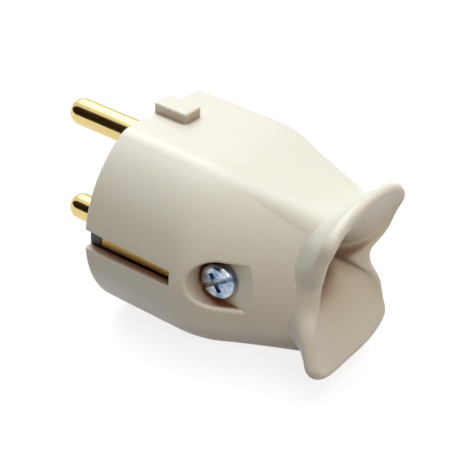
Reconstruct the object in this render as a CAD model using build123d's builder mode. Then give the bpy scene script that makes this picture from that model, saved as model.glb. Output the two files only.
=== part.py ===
from build123d import *
from math import cos, radians, sin, sqrt
import os

os.makedirs("parts", exist_ok=True)

# Earthed power plug, straight cable outlet, in millimetres.
# The plug axis is X and runs rearwards from the engagement face at x = 0.
# The pins point to -X, the pin line is Z, the earth contacts lie at -Y and +Y.

# Casing: a drum with two flats, a soft crease and a tapering cone
body_radius = 18.8
flat_offset = 16.2
flat_edge_radius = 4.0
front_length = 18.5
crease_blend = 3.0
neck_x = 34.0
neck_half_width = 10.5
neck_half_height = 13.8
neck_corner_y = 7.2
neck_corner_z = 12.2
neck_edge_radius = 5.0
wall = 1.5
tail_wall = 1.2
rim_edge = 0.5

# Outlet: a round throat that opens into a fish-tail lip
throat_x = 30.0
throat_radius = 4.5
throat_land = 1.6
throat_skin = 0.1
lip_root_x = 32.8
root_sink = 0.6
oval_power = 2.5
shell_end_saddle = 34.9
shell_end_ear = 36.6
shell_end_half = 13.0
lip_step = 15
LIP_X = (39.1, 39.2, 39.3, 39.0, 37.4, 35.4, 34.4)
LIP_R = (14.4, 14.8, 15.4, 14.8, 11.4, 8.4, 7.4)
LIP_ROUND = (1.0, 1.0, 1.05, 1.15, 1.45, 2.15, 2.7)
LIP_SLOPE = (58, 58, 58, 54, 40, 8, -16)

# Guide keys on the flats and earth openings in the sides
key_length = 6.4
key_width = 4.1
key_height = 1.8
key_root = 0.8
key_edge = 0.35
opening_length = 17.0
opening_front_half = 1.75
opening_rear_half = 1.4

# Screw that ties the casing to the insert, in a pocket that runs out on the cone
screw_x = 23.0
pocket_offset = 0.8
pocket_radius = 4.0
pocket_draft = 4
pocket_edge = 0.6
pocket_wall_lap = 0.5
pocket_drop = 5.6
pocket_wall = 1.8
pocket_floor_wall = 1.9
screw_radius = 1.5
casing_head_radius = 3.1
casing_head_height = 1.7
casing_head_edge = 0.9
recess_turn = 35
recess_depth = 0.9
cross_width = 0.9
cross_length = 3.4
screw_tip = 0.7
nut_side = 5.5
nut_height = 1.8
nut_seat_depth = 2.0

# Insert: pins, carrier and earth bridge
pin_radius = 2.4
pin_length = 19.0
pin_pitch = 19.0
pin_seat_radius = 2.6
collar_radius = 3.8
collar_length = 2.0
barrel_radius = 3.1
barrel_end = 14.0
wire_bore_radius = 1.6
wire_bore_start = 6.4
terminal_x = 10.5
terminal_head_radius = 2.2
terminal_head_height = 1.5
terminal_screw_length = 3.4
carrier_length = 5.0
spine_half_z = 5.5
spine_half_y = 9.6
spine_end = 17.0
plate_thickness = 1.6
plate_inset = 1.0
plate_screw_y = 12.9
screw_chamfer = 0.3
slot_width = 0.8
slot_depth = 0.7
small_radius = 1.3
small_head_radius = 2.3
small_head_height = 1.5
plate_screw_length = 4.8
block_screw_length = 9.0
clamp_screw_length = 7.0
strip_start = 2.2
strip_end = 16.9
strip_sink = 0.3
strip_thickness = 0.9
strip_width = 2.5
strip_bend = 1.2
earth_y = 5.9
earth_pad_radius = 3.2
earth_head_radius = 2.8
earth_head_height = 1.8
earth_screw_length = 5.2
washer_radius = 3.0
washer_thickness = 0.7
earth_nut_height = 2.4

# Rear block and cord clamp
block_end = 27.2
block_half_z = 6.0
block_inner = 4.2
base_end = 19.2
base_top = 2.4
block_screw_z = 3.6
bed_radius = 4.0
wing_start = 24.6
wing_end = 28.6
wing_half_z = 10.0
wing_outer = 8.0
post_z = 7.7
post_radius = 2.3
post_top = 2.6
post_root = 1.0
clamp_thickness = 2.6
clamp_corner = 1.5

# Cuts: how far one runs past the face it opens, and the size of one that takes all beyond a plane
cut_over = 1.0
trim_size = 120.0

# Clearances
slide_gap = 0.15
pin_gap = 0.05
strip_gap = 0.1
thread_gap = 0.05
shank_gap = 0.2
nut_gap = 0.1
bed_gap = 0.6
tip_room = 0.4

# Values that follow
pin_z = pin_pitch / 2
inner_radius = body_radius - wall
strip_outer = inner_radius - strip_sink
pocket_floor = body_radius - pocket_drop
runout_x = front_length + (neck_x - front_length) * pocket_drop / (body_radius - neck_half_width)
pocket_wall_end = max(throat_x + pocket_wall_lap, runout_x + pocket_edge)
block_outer = pocket_floor - pocket_floor_wall
nut_seat = block_outer - nut_seat_depth
earth_tip_depth = earth_screw_length - washer_thickness - strip_thickness - earth_nut_height + tip_room
front_end = front_length - crease_blend
cone_start = front_length + crease_blend
screw_line = (wing_start + wing_end) / 2
clamp_face = post_top + clamp_thickness
form_end = shell_end_ear + cut_over
pocket_x = screw_x + pocket_offset
flat_half = sqrt(body_radius**2 - flat_offset**2)
FRONT = (body_radius, flat_offset, flat_half, flat_offset, flat_edge_radius)
NECK = (neck_half_width, neck_half_height, neck_corner_y, neck_corner_z, neck_edge_radius)


def mix(first, second, share):
    return tuple(a + (b - a) * share for a, b in zip(first, second))


def cone(x):
    return mix(FRONT, NECK, (x - front_length) / (neck_x - front_length))


def bend(before, corner, after):
    return mix(mix(before, after, 0.5), corner, 0.5)


def outline(x, half_width, half_height, corner_y, corner_z, edge_radius):
    """Section of the casing: two side arcs, a flat or crowned top and bottom, rounded edges."""
    with BuildSketch(Plane.YZ.offset(x)) as section:
        with BuildLine():
            ThreePointArc((corner_y, -corner_z), (half_width, 0), (corner_y, corner_z))
            if half_height > corner_z:
                ThreePointArc((corner_y, corner_z), (0, half_height), (-corner_y, corner_z))
                ThreePointArc((-corner_y, -corner_z), (0, -half_height), (corner_y, -corner_z))
            else:
                Line((corner_y, corner_z), (-corner_y, corner_z))
                Line((-corner_y, -corner_z), (corner_y, -corner_z))
            ThreePointArc((-corner_y, corner_z), (-half_width, 0), (-corner_y, -corner_z))
        make_face()
        fillet(section.vertices(), edge_radius)
    return section.sketch


def inset(section, distance):
    return offset(section, -distance, mode=Mode.PRIVATE)


def lip_value(values, angle):
    """Value at an angle from the pin line, the same in all four quarters of the outlet."""
    folded = min(abs(angle), 180 - abs(angle))
    return values[folded // lip_step]


def oval(angle, half_width, half_height):
    """Radius of a squarish oval at an angle from the pin line, close to the section of the cone."""
    across = abs(sin(radians(angle))) / half_width
    upright = abs(cos(radians(angle))) / half_height
    return (across**oval_power + upright**oval_power) ** (-1 / oval_power)


def lip_profile(angle):
    """Radial section of the outlet: throat, bell mouth, rolled lip and the back that joins the cone."""
    lip_x = lip_value(LIP_X, angle)
    lip_r = lip_value(LIP_R, angle)
    lip_round = lip_value(LIP_ROUND, angle)
    slope = radians(lip_value(LIP_SLOPE, angle))
    mouth = max(slope, 0)
    along = (cos(slope), sin(slope))
    inwards = (-cos(mouth), -sin(mouth))
    back = (lip_x - lip_round * along[1], lip_r + lip_round * along[0])
    tip = (lip_x + lip_round * along[0], lip_r + lip_round * along[1])
    inner = (lip_x - lip_round * inwards[1], lip_r + lip_round * inwards[0])
    root_width, root_height = cone(lip_root_x)[:2]
    root = (lip_root_x, oval(angle, root_width, root_height) - root_sink)
    throat = (throat_x, throat_radius - throat_skin)
    ahead = (neck_x, oval(angle, neck_half_width, neck_half_height) - root_sink)
    fall = (ahead[0] - root[0], ahead[1] - root[1])
    side = (0, -cos(radians(angle)), sin(radians(angle)))
    with BuildSketch(Plane(origin=(0, 0, 0), x_dir=(1, 0, 0), z_dir=side)) as profile:
        with BuildLine():
            Spline(root, back, tangents=[fall, along])
            ThreePointArc(back, tip, inner)
            Spline(inner, throat, tangents=[inwards, (-1, 0)])
            Line(throat, root)
        make_face()
    return profile.sketch


def pocket_outline(radius):
    """Round front end with straight sides that run out rearwards, seen along Y."""
    with BuildSketch(Plane.XZ) as shape:
        with Locations((pocket_x, 0)):
            Circle(radius)
        with Locations((pocket_x, 0)):
            Rectangle(trim_size, 2 * radius, align=(Align.MIN, Align.CENTER))
    return shape.sketch


# Outer form of the casing, whole, for the wall of the screw pocket
with BuildPart() as form:
    extrude(outline(0, *FRONT), amount=front_end)
    fillet(form.faces().sort_by(Axis.X)[0].edges(), rim_edge)
    loft(
        sections=[
            outline(front_end, *FRONT),
            outline(front_length, *bend(FRONT, FRONT, cone(cone_start))),
            outline(cone_start, *cone(cone_start)),
        ]
    )
    loft(
        sections=[
            outline(cone_start, *cone(cone_start)),
            outline(form_end, *cone(form_end)),
        ],
        ruled=True,
    )

# Wall of the screw pocket, kept inside the outer form
with BuildPart() as pocket_shell:
    with BuildSketch(Plane.XZ.offset(block_outer)):
        add(pocket_outline(pocket_radius + pocket_wall))
    extrude(amount=pocket_drop + pocket_floor_wall)
    add(form.part, mode=Mode.INTERSECT)
    with BuildSketch(Plane.YZ.offset(pocket_wall_end)):
        Rectangle(trim_size, trim_size)
    extrude(amount=trim_size, mode=Mode.SUBTRACT)

# Fish-tail lip of the outlet: one quarter lofted from radial sections, then mirrored
with BuildPart() as tail:
    loft(sections=[lip_profile(angle) for angle in range(-45, 136, lip_step)])
    Box(trim_size, trim_size, trim_size, align=(Align.CENTER, Align.MIN, Align.MIN), mode=Mode.INTERSECT)
    mirror(about=Plane.XZ)
    mirror(about=Plane.XY)
    with BuildSketch(Plane.YZ.offset(throat_x - cut_over)):
        Circle(throat_radius)
    extrude(amount=cut_over + throat_land, mode=Mode.SUBTRACT)

# Guide key, rounded on all its edges, with its root in the wall of the casing
with BuildPart() as key:
    with Locations((0, 0, flat_offset - key_root)):
        Box(
            key_length,
            key_width,
            key_height + key_root,
            align=(Align.MIN, Align.CENTER, Align.MIN),
        )
    fillet(key.edges(), key_edge)

# Casing, one moulding
with BuildPart() as casing:
    add(form.part)
    extrude(inset(outline(0, *FRONT), wall), amount=front_length, mode=Mode.SUBTRACT)
    loft(
        sections=[
            inset(outline(front_length, *FRONT), wall),
            inset(outline(form_end, *cone(form_end)), tail_wall),
        ],
        ruled=True,
        mode=Mode.SUBTRACT,
    )
    with BuildSketch(Plane.XZ):
        with BuildLine():
            Spline(
                (shell_end_ear, -shell_end_half),
                (shell_end_saddle, 0),
                (shell_end_ear, shell_end_half),
                tangents=[(0, 1), (0, 1), (0, 1)],
            )
            Polyline(
                (shell_end_ear, shell_end_half),
                (shell_end_ear, trim_size),
                (trim_size, trim_size),
                (trim_size, -trim_size),
                (shell_end_ear, -trim_size),
                (shell_end_ear, -shell_end_half),
            )
        make_face()
    extrude(amount=trim_size, both=True, mode=Mode.SUBTRACT)
    add(pocket_shell.part)
    add(tail.part)
    with BuildSketch(Plane.XZ.offset(pocket_floor)):
        add(pocket_outline(pocket_radius))
    extrude(amount=pocket_drop, taper=-pocket_draft, mode=Mode.SUBTRACT)
    pocket_rim = [
        edge
        for edge in casing.edges(Select.LAST)
        if edge.center().Y < -pocket_floor and edge.bounding_box().size.X > pocket_edge
    ]
    fillet(pocket_rim, pocket_edge)
    with BuildSketch(Plane.XZ.offset(block_outer - cut_over)):
        with Locations((screw_x, 0)):
            Circle(screw_radius + shank_gap)
    extrude(amount=pocket_floor_wall + 2 * cut_over, mode=Mode.SUBTRACT)
    with BuildSketch(Plane.XZ):
        Polygon(
            (-cut_over, -opening_front_half),
            (opening_length, -opening_rear_half),
            (opening_length, opening_rear_half),
            (-cut_over, opening_front_half),
            align=None,
        )
    extrude(amount=trim_size, both=True, mode=Mode.SUBTRACT)
    add(key.part)
    add(mirror(key.part, about=Plane.XY, mode=Mode.PRIVATE))
casing.part.label = "casing"
export_step(casing.part, "parts/casing.step")

# Pin carrier: flatted disc with a central spine
with BuildPart() as pin_carrier:
    extrude(inset(outline(0, *FRONT), wall + slide_gap), amount=carrier_length)
    with Locations((spine_end / 2, 0, 0)):
        Box(spine_end, 2 * spine_half_y, 2 * spine_half_z)
    with BuildSketch(Plane.YZ.offset(-cut_over)):
        with Locations((0, pin_z), (0, -pin_z)):
            Circle(pin_seat_radius + pin_gap)
    extrude(amount=carrier_length + 2 * cut_over, mode=Mode.SUBTRACT)
    with BuildSketch(Plane.YZ.offset(carrier_length - collar_length)):
        with Locations((0, pin_z), (0, -pin_z)):
            Circle(collar_radius + pin_gap)
    extrude(amount=spine_end, mode=Mode.SUBTRACT)
    for side in (1, -1):
        with Locations((strip_start - strip_gap, side * (strip_outer - strip_thickness - strip_gap), 0)):
            Box(
                carrier_length,
                2 * (strip_thickness + cut_over),
                strip_width + 2 * strip_gap,
                align=(Align.MIN, Align.MIN if side > 0 else Align.MAX, Align.CENTER),
                mode=Mode.SUBTRACT,
            )
    with Locations((strip_end - strip_thickness, 0, 0)):
        Box(
            strip_thickness + cut_over,
            trim_size,
            strip_width + 2 * strip_gap,
            align=(Align.MIN, Align.CENTER, Align.CENTER),
            mode=Mode.SUBTRACT,
        )
    with BuildSketch(Plane.YZ.offset(strip_end - strip_thickness)):
        with Locations((earth_y, 0)):
            Circle(earth_pad_radius + strip_gap)
    extrude(amount=strip_thickness + cut_over, mode=Mode.SUBTRACT)
    with Locations((strip_end - strip_thickness - earth_nut_height, earth_y, 0)):
        Box(
            earth_nut_height,
            nut_side + 2 * nut_gap,
            nut_side + 2 * nut_gap,
            align=(Align.MIN, Align.CENTER, Align.CENTER),
            mode=Mode.SUBTRACT,
        )
    with BuildSketch(Plane.YZ.offset(strip_end - strip_thickness - earth_nut_height)):
        with Locations((earth_y, 0)):
            Circle(screw_radius + shank_gap)
    extrude(amount=-earth_tip_depth, mode=Mode.SUBTRACT)
    with BuildSketch(Plane.YZ.offset(carrier_length)):
        with Locations((plate_screw_y, 0), (-plate_screw_y, 0)):
            Circle(small_radius + thread_gap)
    extrude(amount=plate_thickness - plate_screw_length - tip_room, mode=Mode.SUBTRACT)
    with BuildSketch(Plane.YZ.offset(spine_end)):
        with Locations((0, block_screw_z), (0, -block_screw_z)):
            Circle(small_radius + thread_gap)
    extrude(amount=base_end - spine_end - block_screw_length - tip_room, mode=Mode.SUBTRACT)
pin_carrier.part.label = "pin_carrier"
export_step(pin_carrier.part, "parts/pin_carrier.step")


def pin_solid(side):
    """Solid brass pin: round tip, seat, collar, and a bored barrel with a screw hole facing outwards."""
    with BuildPart() as pin:
        with BuildSketch(Plane.XZ):
            with BuildLine():
                Polyline(
                    (-pin_length, 0),
                    (barrel_end, 0),
                    (barrel_end, barrel_radius),
                    (carrier_length, barrel_radius),
                    (carrier_length, collar_radius),
                    (carrier_length - collar_length, collar_radius),
                    (carrier_length - collar_length, pin_seat_radius),
                    (0, pin_seat_radius),
                    (0, pin_radius),
                    (pin_radius - pin_length, pin_radius),
                )
                RadiusArc((pin_radius - pin_length, pin_radius), (-pin_length, 0), -pin_radius)
            make_face()
        revolve(axis=Axis.X)
        with BuildSketch(Plane.YZ.offset(wire_bore_start)):
            Circle(wire_bore_radius)
        extrude(amount=barrel_end, mode=Mode.SUBTRACT)
        with BuildSketch(Plane.XY):
            with Locations((terminal_x, 0)):
                Circle(screw_radius + thread_gap)
        extrude(amount=side * (barrel_radius + cut_over), mode=Mode.SUBTRACT)
    return pin.part.moved(Location((0, 0, side * pin_z)))


# Line pin and neutral pin, mirror images about the plug axis
with BuildPart() as line_pin:
    add(pin_solid(1))
line_pin.part.label = "line_pin"
export_step(line_pin.part, "parts/line_pin.step")

with BuildPart() as neutral_pin:
    add(pin_solid(-1))
neutral_pin.part.label = "neutral_pin"
export_step(neutral_pin.part, "parts/neutral_pin.step")


def slotted_screw(radius, length, head_radius, head_height):
    """Cheese-head screw along +Z, head underside at z = 0, shank downwards."""
    with BuildPart() as screw:
        with Locations((0, 0, -length / 2)):
            Cylinder(radius, length)
        chamfer(screw.edges().sort_by(Axis.Z)[0], screw_chamfer)
        with Locations((0, 0, head_height / 2)):
            Cylinder(head_radius, head_height)
        chamfer(screw.edges().sort_by(Axis.Z)[-1], screw_chamfer)
        with Locations((0, 0, head_height)):
            Box(2 * head_radius + cut_over, slot_width, 2 * slot_depth, mode=Mode.SUBTRACT)
    return screw.part


TOWARDS_Y = Location((0, 0, 0), (-90, 0, 0))
TOWARDS_X = Location((0, 0, 0), (0, 90, 0))
TOWARDS_Z_DOWN = Location((0, 0, 0), (180, 0, 0))
terminal_seat = pin_z + barrel_radius

# Terminal screws of the pins
with BuildPart() as line_terminal_screw:
    add(
        slotted_screw(screw_radius, terminal_screw_length, terminal_head_radius, terminal_head_height).moved(
            Location((terminal_x, 0, terminal_seat))
        )
    )
line_terminal_screw.part.label = "line_terminal_screw"
export_step(line_terminal_screw.part, "parts/line_terminal_screw.step")

with BuildPart() as neutral_terminal_screw:
    add(
        slotted_screw(screw_radius, terminal_screw_length, terminal_head_radius, terminal_head_height).moved(
            Location((terminal_x, 0, -terminal_seat)) * TOWARDS_Z_DOWN
        )
    )
neutral_terminal_screw.part.label = "neutral_terminal_screw"
export_step(neutral_terminal_screw.part, "parts/neutral_terminal_screw.step")

# Retaining plate that keeps the pin collars in the carrier
with BuildPart() as retaining_plate:
    extrude(inset(outline(carrier_length, *FRONT), wall + plate_inset), amount=plate_thickness)
    with Locations((carrier_length, 0, 0)):
        Box(
            2 * (plate_thickness + cut_over),
            2 * (spine_half_y + slide_gap),
            2 * (spine_half_z + slide_gap),
            mode=Mode.SUBTRACT,
        )
    with BuildSketch(Plane.YZ.offset(carrier_length - cut_over)):
        with Locations((0, pin_z), (0, -pin_z)):
            Circle(barrel_radius + pin_gap)
        with Locations((plate_screw_y, 0), (-plate_screw_y, 0)):
            Circle(small_radius + shank_gap)
    extrude(amount=plate_thickness + 2 * cut_over, mode=Mode.SUBTRACT)
    for side in (1, -1):
        with Locations((carrier_length, side * (strip_outer - strip_thickness - strip_gap), 0)):
            Box(
                2 * (plate_thickness + cut_over),
                2 * (strip_thickness + cut_over),
                strip_width + 2 * strip_gap,
                align=(Align.CENTER, Align.MIN if side > 0 else Align.MAX, Align.CENTER),
                mode=Mode.SUBTRACT,
            )
retaining_plate.part.label = "retaining_plate"
export_step(retaining_plate.part, "parts/retaining_plate.step")

plate_face = carrier_length + plate_thickness
with BuildPart() as retaining_screws:
    for side in (1, -1):
        add(
            slotted_screw(small_radius, plate_screw_length, small_head_radius, small_head_height).moved(
                Location((plate_face, side * plate_screw_y, 0)) * TOWARDS_X
            )
        )
retaining_screws.part.label = "retaining_screws"
export_step(retaining_screws.part, "parts/retaining_screws.step")

# Earth bridge: one brass strip bent to a U, with a pad for the earth terminal
with BuildPart() as earth_bridge:
    with BuildSketch(Plane.XY) as strip:
        with Locations((strip_start, 0)):
            Rectangle(strip_end - strip_start, 2 * strip_outer, align=(Align.MIN, Align.CENTER))
        fillet(strip.vertices().group_by(Axis.X)[-1], strip_bend + strip_thickness)
        with BuildSketch(mode=Mode.SUBTRACT) as inside:
            with Locations((strip_start - cut_over, 0)):
                Rectangle(
                    strip_end - strip_thickness - strip_start + cut_over,
                    2 * (strip_outer - strip_thickness),
                    align=(Align.MIN, Align.CENTER),
                )
            fillet(inside.vertices().group_by(Axis.X)[-1], strip_bend)
    extrude(amount=strip_width / 2, both=True)
    with BuildSketch(Plane.YZ.offset(strip_end - strip_thickness)):
        with Locations((earth_y, 0)):
            Circle(earth_pad_radius)
    extrude(amount=strip_thickness)
    with BuildSketch(Plane.YZ.offset(strip_end - strip_thickness - cut_over)):
        with Locations((earth_y, 0)):
            Circle(screw_radius + thread_gap)
    extrude(amount=strip_thickness + 2 * cut_over, mode=Mode.SUBTRACT)
earth_bridge.part.label = "earth_bridge"
export_step(earth_bridge.part, "parts/earth_bridge.step")

# Earth terminal: screw, washer and a square nut let into the spine
with BuildPart() as earth_terminal_washer:
    with BuildSketch(Plane.YZ.offset(strip_end)):
        with Locations((earth_y, 0)):
            Circle(washer_radius)
        with Locations((earth_y, 0)):
            Circle(screw_radius + shank_gap, mode=Mode.SUBTRACT)
    extrude(amount=washer_thickness)
earth_terminal_washer.part.label = "earth_terminal_washer"
export_step(earth_terminal_washer.part, "parts/earth_terminal_washer.step")

with BuildPart() as earth_terminal_screw:
    add(
        slotted_screw(screw_radius, earth_screw_length, earth_head_radius, earth_head_height).moved(
            Location((strip_end + washer_thickness, earth_y, 0)) * TOWARDS_X
        )
    )
earth_terminal_screw.part.label = "earth_terminal_screw"
export_step(earth_terminal_screw.part, "parts/earth_terminal_screw.step")

with BuildPart() as earth_terminal_nut:
    with BuildSketch(Plane.YZ.offset(strip_end - strip_thickness)):
        with Locations((earth_y, 0)):
            Rectangle(nut_side, nut_side)
        with Locations((earth_y, 0)):
            Circle(screw_radius + thread_gap, mode=Mode.SUBTRACT)
    extrude(amount=-earth_nut_height)
earth_terminal_nut.part.label = "earth_terminal_nut"
export_step(earth_terminal_nut.part, "parts/earth_terminal_nut.step")

# Rear block: base on the spine, seat for the casing screw, cord bed and clamp posts
with BuildPart() as rear_block:
    with Locations((spine_end, -block_outer, 0)):
        Box(
            block_end - spine_end,
            block_outer - block_inner,
            2 * block_half_z,
            align=(Align.MIN, Align.MIN, Align.CENTER),
        )
    with Locations((spine_end, -block_outer, 0)):
        Box(
            base_end - spine_end,
            block_outer + base_top,
            2 * block_half_z,
            align=(Align.MIN, Align.MIN, Align.CENTER),
        )
    with Locations((wing_start, -wing_outer, 0)):
        Box(
            wing_end - wing_start,
            wing_outer - block_inner,
            2 * wing_half_z,
            align=(Align.MIN, Align.MIN, Align.CENTER),
        )
    with BuildSketch(Plane.XZ.offset(block_inner + post_root)):
        with Locations((screw_line, post_z), (screw_line, -post_z)):
            Circle(post_radius)
    extrude(amount=-(block_inner + post_root + post_top))
    with BuildSketch(Plane.YZ.offset(base_end)):
        Circle(bed_radius + bed_gap)
    extrude(amount=trim_size, mode=Mode.SUBTRACT)
    with BuildSketch(Plane.XZ.offset(-post_top)):
        with Locations((screw_line, post_z), (screw_line, -post_z)):
            Circle(small_radius + thread_gap)
    extrude(amount=clamp_screw_length - clamp_thickness + tip_room, mode=Mode.SUBTRACT)
    with Locations((screw_x, -nut_seat, -nut_side / 2 - nut_gap)):
        Box(
            nut_side + 2 * nut_gap,
            nut_height + nut_gap,
            trim_size,
            align=(Align.CENTER, Align.MIN, Align.MIN),
            mode=Mode.SUBTRACT,
        )
    with BuildSketch(Plane.XZ.offset(block_outer + cut_over)):
        with Locations((screw_x, 0)):
            Circle(screw_radius + shank_gap)
    extrude(amount=-(cut_over + nut_seat_depth + nut_height + screw_tip + tip_room), mode=Mode.SUBTRACT)
    with BuildSketch(Plane.YZ.offset(spine_end - cut_over)):
        with Locations((0, block_screw_z), (0, -block_screw_z)):
            Circle(small_radius + shank_gap)
    extrude(amount=base_end - spine_end + 2 * cut_over, mode=Mode.SUBTRACT)
rear_block.part.label = "rear_block"
export_step(rear_block.part, "parts/rear_block.step")

with BuildPart() as rear_block_screws:
    for side in (1, -1):
        add(
            slotted_screw(small_radius, block_screw_length, small_head_radius, small_head_height).moved(
                Location((base_end, 0, side * block_screw_z)) * TOWARDS_X
            )
        )
rear_block_screws.part.label = "rear_block_screws"
export_step(rear_block_screws.part, "parts/rear_block_screws.step")

# Cord clamp: bar on the two posts, hollowed towards the cord
with BuildPart() as cord_clamp:
    with BuildSketch(Plane.XZ.offset(-post_top)):
        with Locations((screw_line, 0)):
            RectangleRounded(wing_end - wing_start, 2 * wing_half_z, clamp_corner)
    extrude(amount=-clamp_thickness)
    with BuildSketch(Plane.YZ.offset(wing_start - cut_over)):
        Circle(bed_radius)
    extrude(amount=trim_size, mode=Mode.SUBTRACT)
    with BuildSketch(Plane.XZ):
        with Locations((screw_line, post_z), (screw_line, -post_z)):
            Circle(small_radius + shank_gap)
    extrude(amount=-trim_size, mode=Mode.SUBTRACT)
cord_clamp.part.label = "cord_clamp"
export_step(cord_clamp.part, "parts/cord_clamp.step")

with BuildPart() as cord_clamp_screws:
    for side in (1, -1):
        add(
            slotted_screw(small_radius, clamp_screw_length, small_head_radius, small_head_height).moved(
                Location((screw_line, clamp_face, side * post_z)) * TOWARDS_Y
            )
        )
cord_clamp_screws.part.label = "cord_clamp_screws"
export_step(cord_clamp_screws.part, "parts/cord_clamp_screws.step")

# Casing screw with a combined cross and slot recess, and its square nut in the rear block
with BuildPart() as casing_screw:
    with BuildSketch(Plane.XZ.offset(pocket_floor)):
        with Locations((screw_x, 0)):
            Circle(casing_head_radius)
    extrude(amount=casing_head_height)
    fillet(casing_screw.edges().sort_by(Axis.Y)[0], casing_head_edge)
    with BuildSketch(Plane.XZ.offset(pocket_floor)):
        with Locations((screw_x, 0)):
            Circle(screw_radius)
    extrude(amount=-(pocket_floor - nut_seat + nut_height + screw_tip))
    with BuildSketch(Plane.XZ.offset(pocket_floor + casing_head_height)):
        with Locations(Location((screw_x, 0), recess_turn)):
            Rectangle(2 * casing_head_radius + cut_over, slot_width)
            Rectangle(cross_width, cross_length)
    extrude(amount=-recess_depth, mode=Mode.SUBTRACT)
casing_screw.part.label = "casing_screw"
export_step(casing_screw.part, "parts/casing_screw.step")

with BuildPart() as casing_nut:
    with BuildSketch(Plane.XZ.offset(nut_seat)):
        with Locations((screw_x, 0)):
            Rectangle(nut_side, nut_side)
        with Locations((screw_x, 0)):
            Circle(screw_radius + thread_gap, mode=Mode.SUBTRACT)
    extrude(amount=-nut_height)
casing_nut.part.label = "casing_nut"
export_step(casing_nut.part, "parts/casing_nut.step")
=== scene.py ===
from math import radians

import bpy
from mathutils import Euler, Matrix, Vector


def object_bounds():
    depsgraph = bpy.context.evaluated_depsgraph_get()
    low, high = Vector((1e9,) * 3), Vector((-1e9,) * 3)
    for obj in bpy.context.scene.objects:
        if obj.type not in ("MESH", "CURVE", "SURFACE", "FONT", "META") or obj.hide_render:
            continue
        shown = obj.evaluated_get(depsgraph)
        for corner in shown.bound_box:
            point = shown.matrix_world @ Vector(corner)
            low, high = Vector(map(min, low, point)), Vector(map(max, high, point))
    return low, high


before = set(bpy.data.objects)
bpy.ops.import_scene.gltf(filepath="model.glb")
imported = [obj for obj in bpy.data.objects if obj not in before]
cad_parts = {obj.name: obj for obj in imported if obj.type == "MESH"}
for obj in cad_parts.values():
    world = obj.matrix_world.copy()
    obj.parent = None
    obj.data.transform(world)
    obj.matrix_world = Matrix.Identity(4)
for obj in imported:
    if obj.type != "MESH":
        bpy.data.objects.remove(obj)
CAD_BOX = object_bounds()

bl_info = {
    "name": "Earthed Power Plug",
    "version": (1, 0, 0),
    "blender": (4, 5, 0),
    "location": "3D View > Sidebar > Plug",
    "description": "Finishes, stage and camera for an earthed power plug",
    "category": "Object",
}

MM = 0.001
PHENOLIC_NODES = ("pin_carrier", "retaining_plate", "rear_block", "cord_clamp")
PIN_NODES = ("line_pin", "neutral_pin")
STEEL_NODES = (
    "casing_screw",
    "casing_nut",
    "line_terminal_screw",
    "neutral_terminal_screw",
    "retaining_screws",
    "earth_terminal_screw",
    "earth_terminal_washer",
    "earth_terminal_nut",
    "rear_block_screws",
    "cord_clamp_screws",
)


def linear(hex_colour):
    """Linear colour of an sRGB hex value."""
    channels = [int(hex_colour[i : i + 2], 16) / 255 for i in (1, 3, 5)]
    return [c / 12.92 if c <= 0.04045 else ((c + 0.055) / 1.055) ** 2.4 for c in channels]


def opaque(colour, shade=1.0):
    """A colour with full cover, as a shader socket takes it, darkened or lightened by a factor."""
    return (*(c * shade for c in colour), 1.0)


def per_metre(size_mm):
    """Texture scale that gives features of a size in millimetres."""
    return 1 / (size_mm * MM)


class PlugFinishes(bpy.types.PropertyGroup):
    """Colours and roughness of the plug's materials"""

    ivory: bpy.props.FloatVectorProperty(
        name="Ivory",
        description="Colour of the moulded casing",
        subtype="COLOR",
        min=0,
        max=1,
        default=linear("#F0EEDE"),
    )
    # Painted shade: the warm brown mixed into the casing's colour in recesses and between parts
    ivory_painted_shade: bpy.props.FloatVectorProperty(
        name="Ivory in recesses",
        description="Warmer colour of the casing where little light reaches it",
        subtype="COLOR",
        min=0,
        max=1,
        default=linear("#84502A"),
    )
    ivory_roughness: bpy.props.FloatProperty(
        name="Ivory roughness",
        description="Roughness of the casing's satin surface",
        subtype="FACTOR",
        min=0,
        max=1,
        default=0.34,
    )
    brass: bpy.props.FloatVectorProperty(
        name="Brass",
        description="Colour of the polished pins",
        subtype="COLOR",
        min=0,
        max=1,
        default=linear("#E8CF8C"),
    )
    strip_brass: bpy.props.FloatVectorProperty(
        name="Strip brass",
        description="Colour of the rolled earth strip",
        subtype="COLOR",
        min=0,
        max=1,
        default=linear("#C9A861"),
    )
    zinc: bpy.props.FloatVectorProperty(
        name="Zinc",
        description="Colour of the plated screws",
        subtype="COLOR",
        min=0,
        max=1,
        default=linear("#C4CBD6"),
    )
    # Blue of the passivation, darkened so that it also serves as painted dark reflection on the screws
    zinc_passivation_and_painted_reflection: bpy.props.FloatVectorProperty(
        name="Zinc cloud",
        description="Darker and bluer colour of the passivated patches on the plated screws",
        subtype="COLOR",
        min=0,
        max=1,
        default=linear("#6E839D"),
    )
    phenolic: bpy.props.FloatVectorProperty(
        name="Phenolic",
        description="Colour of the insert's dark mouldings",
        subtype="COLOR",
        min=0,
        max=1,
        default=linear("#2B2724"),
    )


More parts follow.
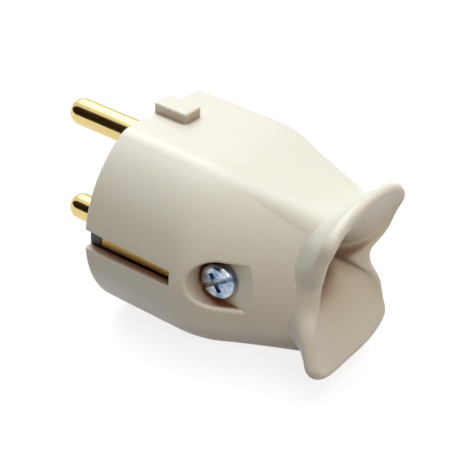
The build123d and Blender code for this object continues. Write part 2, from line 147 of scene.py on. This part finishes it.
class PlugLights(bpy.types.PropertyGroup):
    """Three soft lights in the plug's frame, and the even light of the room"""

    overhead_place: bpy.props.FloatVectorProperty(
        name="Overhead place",
        description="Place of the large light above the plug",
        subtype="TRANSLATION",
        unit="LENGTH",
        default=(-0.05, 0.0, 0.60),
    )
    overhead_width: bpy.props.FloatProperty(
        name="Overhead width",
        description="Side of the large light above the plug",
        unit="LENGTH",
        default=0.6,
    )
    overhead_power: bpy.props.FloatProperty(
        name="Overhead power",
        description="Power of the large light above the plug",
        unit="POWER",
        default=3.3,
    )
    overhead_colour: bpy.props.FloatVectorProperty(
        name="Overhead colour",
        description="Colour of the large light above the plug, a little cool",
        subtype="COLOR",
        min=0,
        max=1,
        default=linear("#E2F0FF"),
    )
    rear_place: bpy.props.FloatVectorProperty(
        name="Rear place",
        description="Place of the light beyond the pins",
        subtype="TRANSLATION",
        unit="LENGTH",
        default=(-0.50, 0.30, 0.60),
    )
    rear_width: bpy.props.FloatProperty(
        name="Rear width",
        description="Side of the light beyond the pins",
        unit="LENGTH",
        default=0.5,
    )
    rear_power: bpy.props.FloatProperty(
        name="Rear power",
        description="Power of the light beyond the pins, which whitens their upper side",
        unit="POWER",
        default=2.0,
    )
    rear_colour: bpy.props.FloatVectorProperty(
        name="Rear colour",
        description="Colour of the light beyond the pins",
        subtype="COLOR",
        min=0,
        max=1,
        default=linear("#FFFDF8"),
    )
    fill_place: bpy.props.FloatVectorProperty(
        name="Fill place",
        description="Place of the light behind the outlet",
        subtype="TRANSLATION",
        unit="LENGTH",
        default=(0.52, -0.28, 0.44),
    )
    fill_width: bpy.props.FloatProperty(
        name="Fill width",
        description="Side of the light behind the outlet",
        unit="LENGTH",
        default=0.4,
    )
    fill_power: bpy.props.FloatProperty(
        name="Fill power",
        description="Power of the light behind the outlet, which opens the throat's shade",
        unit="POWER",
        default=1.2,
    )
    fill_colour: bpy.props.FloatVectorProperty(
        name="Fill colour",
        description="Colour of the light behind the outlet, a little warm",
        subtype="COLOR",
        min=0,
        max=1,
        default=linear("#FFECD4"),
    )
    room_strength: bpy.props.FloatProperty(
        name="Room strength",
        description="Strength of the even light from all round",
        default=0.19,
    )
    room_colour: bpy.props.FloatVectorProperty(
        name="Room colour",
        description="Colour of the even light from all round, warm",
        subtype="COLOR",
        min=0,
        max=1,
        default=linear("#FFD4B0"),
    )


class PlugStage(bpy.types.PropertyGroup):
    """Background, floor and camera"""

    background: bpy.props.FloatVectorProperty(
        name="Background",
        description="Colour of the floor and the backdrop",
        subtype="COLOR",
        min=0,
        max=1,
        default=linear("#FFFFFF"),
    )
    floor_width: bpy.props.FloatProperty(
        name="Floor width",
        description="Side of the square of paper under the plug",
        unit="LENGTH",
        default=4.0,
    )
    camera_place: bpy.props.FloatVectorProperty(
        name="Camera place",
        description="Place of the camera in the plug's frame",
        subtype="TRANSLATION",
        unit="LENGTH",
        default=(109.8 * MM, -144.45 * MM, 109.1 * MM),
    )
    camera_azimuth: bpy.props.FloatProperty(
        name="Camera azimuth",
        description="Turn of the camera about the vertical",
        subtype="ANGLE",
        default=radians(32.93),
    )
    camera_elevation: bpy.props.FloatProperty(
        name="Camera elevation",
        description="Height of the camera above the horizon",
        subtype="ANGLE",
        default=radians(32.70),
    )
    camera_roll: bpy.props.FloatProperty(
        name="Camera roll",
        description="Tilt of the picture about the line of sight",
        subtype="ANGLE",
        default=radians(4.93),
    )
    focal_length: bpy.props.FloatProperty(
        name="Focal length",
        description="Focal length of the lens in millimetres",
        unit="CAMERA",
        default=95.46,
    )
    sensor_width: bpy.props.FloatProperty(
        name="Sensor width",
        description="Width of the picture in the camera in millimetres",
        unit="CAMERA",
        default=36.0,
    )


def add_node(tree, kind, inputs=(), **settings):
    """Adds a node with its settings, where each input is a value or a socket to link."""
    made = tree.nodes.new(kind)
    for name, value in settings.items():
        setattr(made, name, value)
    for socket, value in dict(inputs).items():
        if isinstance(value, bpy.types.NodeSocket):
            tree.links.new(value, made.inputs[socket])
        else:
            made.inputs[socket].default_value = value
    return made


def new_finish(name):
    """An empty node material and its tree."""
    material = bpy.data.materials.new(name)
    material.use_nodes = True
    material.node_tree.nodes.clear()
    return material, material.node_tree


def ivory_urea(finishes):
    """Ivory urea moulding, made in a polished steel mould."""
    # A satin skin with broad soft highlights, a little clouded by the flow in the mould
    # Light enters a little way and comes back warmer, and deep recesses also get a painted warm brown
    # shade from an occlusion mask
    material, tree = new_finish("ivory_urea_moulding")
    place = add_node(tree, "ShaderNodeTexCoord").outputs["Object"]
    flow = add_node(
        tree,
        "ShaderNodeTexNoise",
        {"Vector": place, "Scale": per_metre(9.0), "Detail": 3.0, "Roughness": 0.5},
    )
    tint = add_node(
        tree,
        "ShaderNodeMix",
        {
            "Factor": flow.outputs["Fac"],
            "A": opaque(finishes.ivory, shade=0.965),
            "B": opaque(finishes.ivory),
        },
        data_type="RGBA",
    )
    # Painted shade: an occlusion mask darkens the colour towards a warm brown in recesses and between
    # parts
    recess = add_node(tree, "ShaderNodeAmbientOcclusion", {"Distance": 12.0 * MM}, samples=8)
    openness = add_node(
        tree,
        "ShaderNodeMapRange",
        {"Value": recess.outputs["AO"], "From Min": 0.36, "From Max": 0.76},
    )
    shaded = add_node(
        tree,
        "ShaderNodeMix",
        {
            "Factor": openness.outputs["Result"],
            "A": opaque(finishes.ivory_painted_shade),
            "B": tint.outputs["Result"],
        },
        data_type="RGBA",
    )
    grain = add_node(
        tree,
        "ShaderNodeTexNoise",
        {"Vector": place, "Scale": per_metre(0.5), "Detail": 2.0},
    )
    satin = add_node(
        tree,
        "ShaderNodeMapRange",
        {
            "Value": grain.outputs["Fac"],
            "To Min": finishes.ivory_roughness - 0.04,
            "To Max": finishes.ivory_roughness + 0.06,
        },
    )
    skin = add_node(
        tree,
        "ShaderNodeBump",
        {"Height": grain.outputs["Fac"], "Strength": 0.06, "Distance": 0.02 * MM},
    )
    shader = add_node(
        tree,
        "ShaderNodeBsdfPrincipled",
        {
            "Base Color": shaded.outputs["Result"],
            "Roughness": satin.outputs["Result"],
            "Normal": skin.outputs["Normal"],
            "IOR": 1.55,
            "Subsurface Weight": 0.25,
            "Subsurface Radius": (1.0, 0.7, 0.45),
            "Subsurface Scale": 0.9 * MM,
        },
    )
    add_node(tree, "ShaderNodeOutputMaterial", {"Surface": shader.outputs["BSDF"]})
    return material


def drawn_brass(finishes):
    """Brass rod, drawn through a die and polished."""
    # A bright gold metal that mirrors the room, with faint lines from the die along the pin
    # The lines are 0.05 mm apart on real rod and drawn at 0.4 mm so that they show
    line_spacing = 0.4
    line_stretch = 50
    material, tree = new_finish("drawn_brass")
    place = add_node(tree, "ShaderNodeTexCoord").outputs["Object"]
    along = add_node(
        tree,
        "ShaderNodeMapping",
        {"Vector": place, "Scale": (1 / line_stretch, 1.0, 1.0)},
    )
    lines = add_node(
        tree,
        "ShaderNodeTexNoise",
        {"Vector": along.outputs["Vector"], "Scale": per_metre(line_spacing), "Detail": 2.0},
    )
    handling = add_node(
        tree,
        "ShaderNodeTexNoise",
        {"Vector": place, "Scale": per_metre(4.0), "Detail": 4.0},
    )
    polish = add_node(
        tree,
        "ShaderNodeMapRange",
        {"Value": handling.outputs["Fac"], "To Min": 0.10, "To Max": 0.22},
    )
    tint = add_node(
        tree,
        "ShaderNodeMix",
        {
            "Factor": lines.outputs["Fac"],
            "A": opaque(finishes.brass, shade=0.78),
            "B": opaque(finishes.brass),
        },
        data_type="RGBA",
    )
    drawing = add_node(
        tree,
        "ShaderNodeBump",
        {"Height": lines.outputs["Fac"], "Strength": 0.2, "Distance": 0.02 * MM},
    )
    shader = add_node(
        tree,
        "ShaderNodeBsdfPrincipled",
        {
            "Base Color": tint.outputs["Result"],
            "Metallic": 1.0,
            "Roughness": polish.outputs["Result"],
            "Normal": drawing.outputs["Normal"],
        },
    )
    add_node(tree, "ShaderNodeOutputMaterial", {"Surface": shader.outputs["BSDF"]})
    return material


def rolled_brass(finishes):
    """Brass strip as it comes from the rolls, dulled by handling."""
    # A duller gold with fine lines along the strip, and patches where the air has browned it
    # The lines are 0.03 mm apart on real strip and drawn at 0.25 mm so that they show
    line_spacing = 0.25
    line_stretch = 12.5
    material, tree = new_finish("rolled_brass_strip")
    place = add_node(tree, "ShaderNodeTexCoord").outputs["Object"]
    along = add_node(
        tree,
        "ShaderNodeMapping",
        {"Vector": place, "Scale": (1 / line_stretch, 1.0, 1.0)},
    )
    lines = add_node(
        tree,
        "ShaderNodeTexNoise",
        {"Vector": along.outputs["Vector"], "Scale": per_metre(line_spacing), "Detail": 3.0},
    )
    browning = add_node(
        tree,
        "ShaderNodeTexNoise",
        {"Vector": place, "Scale": per_metre(3.0), "Detail": 4.0},
    )
    tint = add_node(
        tree,
        "ShaderNodeMix",
        {
            "Factor": browning.outputs["Fac"],
            "A": opaque(finishes.strip_brass, shade=0.72),
            "B": opaque(finishes.strip_brass),
        },
        data_type="RGBA",
    )
    dullness = add_node(
        tree,
        "ShaderNodeMapRange",
        {"Value": lines.outputs["Fac"], "To Min": 0.30, "To Max": 0.46},
    )
    rolling = add_node(
        tree,
        "ShaderNodeBump",
        {"Height": lines.outputs["Fac"], "Strength": 0.15, "Distance": 0.02 * MM},
    )
    shader = add_node(
        tree,
        "ShaderNodeBsdfPrincipled",
        {
            "Base Color": tint.outputs["Result"],
            "Metallic": 1.0,
            "Roughness": dullness.outputs["Result"],
            "Normal": rolling.outputs["Normal"],
        },
    )
    add_node(tree, "ShaderNodeOutputMaterial", {"Surface": shader.outputs["BSDF"]})
    return material


def zinc_plate(finishes):
    """Steel screw with a bright zinc plate, blue passivated."""
    # A cool silver with darker blue patches, partly the blue passivation and partly painted dark
    # reflection, smooth enough to mirror the room
    material, tree = new_finish("zinc_plated_steel")
    place = add_node(tree, "ShaderNodeTexCoord").outputs["Object"]
    cloud = add_node(
        tree,
        "ShaderNodeTexNoise",
        {"Vector": place, "Scale": per_metre(2.2), "Detail": 3.0},
    )
    patches = add_node(
        tree,
        "ShaderNodeMapRange",
        {"Value": cloud.outputs["Fac"], "From Min": 0.40, "From Max": 0.60},
    )
    # Random darker blue patches: the passivation's tint together with painted dark reflection
    tint = add_node(
        tree,
        "ShaderNodeMix",
        {
            "Factor": patches.outputs["Result"],
            "A": opaque(finishes.zinc_passivation_and_painted_reflection),
            "B": opaque(finishes.zinc),
        },
        data_type="RGBA",
    )
    pitting = add_node(
        tree,
        "ShaderNodeTexNoise",
        {"Vector": place, "Scale": per_metre(0.35), "Detail": 2.0},
    )
    shine = add_node(
        tree,
        "ShaderNodeMapRange",
        {"Value": pitting.outputs["Fac"], "To Min": 0.14, "To Max": 0.28},
    )
    plating = add_node(
        tree,
        "ShaderNodeBump",
        {"Height": pitting.outputs["Fac"], "Strength": 0.12, "Distance": 0.02 * MM},
    )
    shader = add_node(
        tree,
        "ShaderNodeBsdfPrincipled",
        {
            "Base Color": tint.outputs["Result"],
            "Metallic": 1.0,
            "Roughness": shine.outputs["Result"],
            "Normal": plating.outputs["Normal"],
        },
    )
    add_node(tree, "ShaderNodeOutputMaterial", {"Surface": shader.outputs["BSDF"]})
    return material


def dark_phenolic(finishes):
    """Phenolic moulding filled with wood flour."""
    # A nearly black brown with a dull skin, mottled by the filler
    material, tree = new_finish("dark_phenolic_moulding")
    place = add_node(tree, "ShaderNodeTexCoord").outputs["Object"]
    filler = add_node(
        tree,
        "ShaderNodeTexNoise",
        {"Vector": place, "Scale": per_metre(0.8), "Detail": 4.0, "Roughness": 0.6},
    )
    tint = add_node(
        tree,
        "ShaderNodeMix",
        {
            "Factor": filler.outputs["Fac"],
            "A": opaque(finishes.phenolic, shade=0.55),
            "B": opaque(finishes.phenolic, shade=1.25),
        },
        data_type="RGBA",
    )
    dullness = add_node(
        tree,
        "ShaderNodeMapRange",
        {"Value": filler.outputs["Fac"], "To Min": 0.36, "To Max": 0.52},
    )
    skin = add_node(
        tree,
        "ShaderNodeBump",
        {"Height": filler.outputs["Fac"], "Strength": 0.1, "Distance": 0.03 * MM},
    )
    shader = add_node(
        tree,
        "ShaderNodeBsdfPrincipled",
        {
            "Base Color": tint.outputs["Result"],
            "Roughness": dullness.outputs["Result"],
            "Normal": skin.outputs["Normal"],
            "IOR": 1.6,
        },
    )
    add_node(tree, "ShaderNodeOutputMaterial", {"Surface": shader.outputs["BSDF"]})
    return material


def coat(names, material):
    """Gives CAD nodes one finish."""
    for name in names:
        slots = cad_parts[name].data.materials
        slots.clear()
        slots.append(material)


def seen_directly(tree):
    """Share of light paths that come from the camera, a gloss or a clear body."""
    path = add_node(tree, "ShaderNodeLightPath").outputs
    first = add_node(
        tree,
        "ShaderNodeMath",
        {0: path["Is Camera Ray"], 1: path["Is Glossy Ray"]},
        operation="MAXIMUM",
    )
    return add_node(
        tree,
        "ShaderNodeMath",
        {0: first.outputs[0], 1: path["Is Transmission Ray"]},
        operation="MAXIMUM",
    ).outputs[0]


def white_paper(stage):
    """Matt white paper under the plug."""
    # A plain sheet with a soft shadow, lifted to white by a little light of its own, seen only directly
    # That light grows away from the plug, so the paper meets the backdrop without an edge
    material, tree = new_finish("white_paper")
    paper = add_node(tree, "ShaderNodeBsdfDiffuse", {"Color": opaque(stage.background, shade=0.3)})
    place = add_node(tree, "ShaderNodeTexCoord").outputs["Object"]
    away = add_node(tree, "ShaderNodeVectorMath", {0: place}, operation="LENGTH")
    fade = add_node(
        tree,
        "ShaderNodeMapRange",
        {
            "Value": away.outputs["Value"],
            "From Min": 60 * MM,
            "From Max": 150 * MM,
            "To Min": 0.84,
            "To Max": 1.0,
        },
    )
    lift = add_node(
        tree,
        "ShaderNodeMath",
        {0: seen_directly(tree), 1: fade.outputs["Result"]},
        operation="MULTIPLY",
    )
    glow = add_node(
        tree,
        "ShaderNodeEmission",
        {"Color": opaque(stage.background), "Strength": lift.outputs[0]},
    )
    both = add_node(
        tree,
        "ShaderNodeAddShader",
        {0: paper.outputs["BSDF"], 1: glow.outputs["Emission"]},
    )
    add_node(tree, "ShaderNodeOutputMaterial", {"Surface": both.outputs[0]})
    return material


def black_cloth():
    """Black woven cloth that takes up light."""
    # A dull black that shows in the metals as a dark band between the light above and the paper
    # The weave is finer than 1 mm and only its broad shading, 20 mm across, shows there
    material, tree = new_finish("black_cloth")
    place = add_node(tree, "ShaderNodeTexCoord").outputs["Object"]
    weave = add_node(tree, "ShaderNodeTexNoise", {"Vector": place, "Scale": per_metre(20.0)})
    tint = add_node(
        tree,
        "ShaderNodeMix",
        {
            "Factor": weave.outputs["Fac"],
            "A": opaque(linear("#2A2018")),
            "B": opaque(linear("#3A2C20")),
        },
        data_type="RGBA",
    )
    cloth = add_node(tree, "ShaderNodeBsdfDiffuse", {"Color": tint.outputs["Result"]})
    add_node(tree, "ShaderNodeOutputMaterial", {"Surface": cloth.outputs["BSDF"]})
    return material


def add_sheet(name, corners, material):
    """A flat sheet between four corners, as a piece of the stage."""
    mesh = bpy.data.meshes.new(name)
    mesh.from_pydata(corners, [], [(0, 1, 2, 3)])
    mesh.materials.append(material)
    sheet = bpy.data.objects.new(name, mesh)
    bpy.context.scene.collection.objects.link(sheet)
    return sheet


def add_floor(stage):
    """A wide sheet of paper under the plug's lowest point."""
    half = stage.floor_width / 2
    level = CAD_BOX[0].z
    corners = [(-half, -half, level), (half, -half, level), (half, half, level), (-half, half, level)]
    add_sheet("floor", corners, white_paper(stage))


def add_cloth():
    """A cloth that leans back on the side of the casing screw, out of every picture."""
    # Its edges in metres, in the plug's frame
    left, right = -1.3, 0.0
    front, low = -0.12, CAD_BOX[0].z + 1 * MM
    far, high = -0.75, 1.2
    corners = [(left, front, low), (right, front, low), (right, far, high), (left, far, high)]
    cloth = add_sheet("cloth", corners, black_cloth())
    cloth.visible_camera = False


def add_light(name, lights):
    """A square soft light, turned to the middle of the plug."""
    lamp = bpy.data.lights.new(name, "AREA")
    lamp.shape = "SQUARE"
    lamp.size = getattr(lights, name + "_width")
    lamp.energy = getattr(lights, name + "_power")
    lamp.color = getattr(lights, name + "_colour")
    light = bpy.data.objects.new(name, lamp)
    light.location = getattr(lights, name + "_place")
    middle = (CAD_BOX[0] + CAD_BOX[1]) / 2
    light.rotation_euler = (middle - light.location).to_track_quat("-Z", "Y").to_euler()
    bpy.context.scene.collection.objects.link(light)


def add_room(lights, stage):
    """Even light from all round, with a white backdrop where it is seen directly."""
    world = bpy.data.worlds.new("room")
    world.use_nodes = True
    tree = world.node_tree
    tree.nodes.clear()
    light = add_node(
        tree,
        "ShaderNodeBackground",
        {"Color": opaque(lights.room_colour), "Strength": lights.room_strength},
    )
    backdrop = add_node(
        tree,
        "ShaderNodeBackground",
        {"Color": opaque(stage.background), "Strength": 1.0},
    )
    mixed = add_node(
        tree,
        "ShaderNodeMixShader",
        {0: seen_directly(tree), 1: light.outputs[0], 2: backdrop.outputs[0]},
    )
    add_node(tree, "ShaderNodeOutputWorld", {"Surface": mixed.outputs[0]})
    bpy.context.scene.world = world


def add_camera(stage):
    """Camera at the photograph's place, turned by azimuth, elevation and roll."""
    lens = bpy.data.cameras.new("camera")
    lens.sensor_width = stage.sensor_width
    lens.lens = stage.focal_length
    lens.clip_start = 10 * MM
    camera = bpy.data.objects.new("camera", lens)
    camera.location = stage.camera_place
    look = Euler((radians(90) - stage.camera_elevation, 0, stage.camera_azimuth)).to_matrix()
    roll = Euler((0, 0, stage.camera_roll)).to_matrix()
    camera.rotation_euler = (look @ roll).to_euler()
    bpy.context.scene.collection.objects.link(camera)
    bpy.context.scene.camera = camera


class PLUG_OT_casing(bpy.types.Operator):
    """Finish the moulded casing"""

    bl_idname = "plug.casing"
    bl_label = "Casing"

    def execute(self, context):
        coat(["casing"], ivory_urea(context.scene.plug_finishes))
        return {"FINISHED"}


class PLUG_OT_pins(bpy.types.Operator):
    """Finish the two pins"""

    bl_idname = "plug.pins"
    bl_label = "Pins"

    def execute(self, context):
        coat(PIN_NODES, drawn_brass(context.scene.plug_finishes))
        return {"FINISHED"}


class PLUG_OT_earth_bridge(bpy.types.Operator):
    """Finish the earth strip"""

    bl_idname = "plug.earth_bridge"
    bl_label = "Earth bridge"

    def execute(self, context):
        coat(["earth_bridge"], rolled_brass(context.scene.plug_finishes))
        return {"FINISHED"}


class PLUG_OT_fasteners(bpy.types.Operator):
    """Finish the screws, nuts and washer"""

    bl_idname = "plug.fasteners"
    bl_label = "Fasteners"

    def execute(self, context):
        coat(STEEL_NODES, zinc_plate(context.scene.plug_finishes))
        return {"FINISHED"}


class PLUG_OT_insert(bpy.types.Operator):
    """Finish the dark mouldings of the insert"""

    bl_idname = "plug.insert"
    bl_label = "Insert"

    def execute(self, context):
        coat(PHENOLIC_NODES, dark_phenolic(context.scene.plug_finishes))
        return {"FINISHED"}


class PLUG_OT_stage(bpy.types.Operator):
    """Set up the floor, the cloth, the lights and the camera"""

    bl_idname = "plug.stage"
    bl_label = "Stage"

    def execute(self, context):
        stage = context.scene.plug_stage
        lights = context.scene.plug_lights
        context.scene.view_settings.view_transform = "Standard"
        add_floor(stage)
        add_cloth()
        add_room(lights, stage)
        for name in ("overhead", "rear", "fill"):
            add_light(name, lights)
        add_camera(stage)
        return {"FINISHED"}


class PLUG_PT_panel(bpy.types.Panel):
    """Steps, finishes, lights and stage of the plug"""

    bl_idname = "PLUG_PT_panel"
    bl_label = "Earthed power plug"
    bl_space_type = "VIEW_3D"
    bl_region_type = "UI"
    bl_category = "Plug"

    def draw(self, context):
        scene = context.scene
        for operator in OPERATORS:
            self.layout.operator(operator.bl_idname)
        for group in (scene.plug_finishes, scene.plug_lights, scene.plug_stage):
            column = self.layout.column()
            for name in group.__annotations__:
                column.prop(group, name)


OPERATORS = (
    PLUG_OT_casing,
    PLUG_OT_pins,
    PLUG_OT_earth_bridge,
    PLUG_OT_fasteners,
    PLUG_OT_insert,
    PLUG_OT_stage,
)
CLASSES = (PlugFinishes, PlugLights, PlugStage, *OPERATORS, PLUG_PT_panel)


def register():
    for kind in CLASSES:
        bpy.utils.register_class(kind)
    bpy.types.Scene.plug_finishes = bpy.props.PointerProperty(type=PlugFinishes)
    bpy.types.Scene.plug_lights = bpy.props.PointerProperty(type=PlugLights)
    bpy.types.Scene.plug_stage = bpy.props.PointerProperty(type=PlugStage)


def unregister():
    del bpy.types.Scene.plug_stage
    del bpy.types.Scene.plug_lights
    del bpy.types.Scene.plug_finishes
    for kind in reversed(CLASSES):
        bpy.utils.unregister_class(kind)


def main():
    register()
    bpy.ops.plug.casing()
    bpy.ops.plug.pins()
    bpy.ops.plug.earth_bridge()
    bpy.ops.plug.fasteners()
    bpy.ops.plug.insert()
    bpy.ops.plug.stage()


if __name__ == "__main__":
    main()
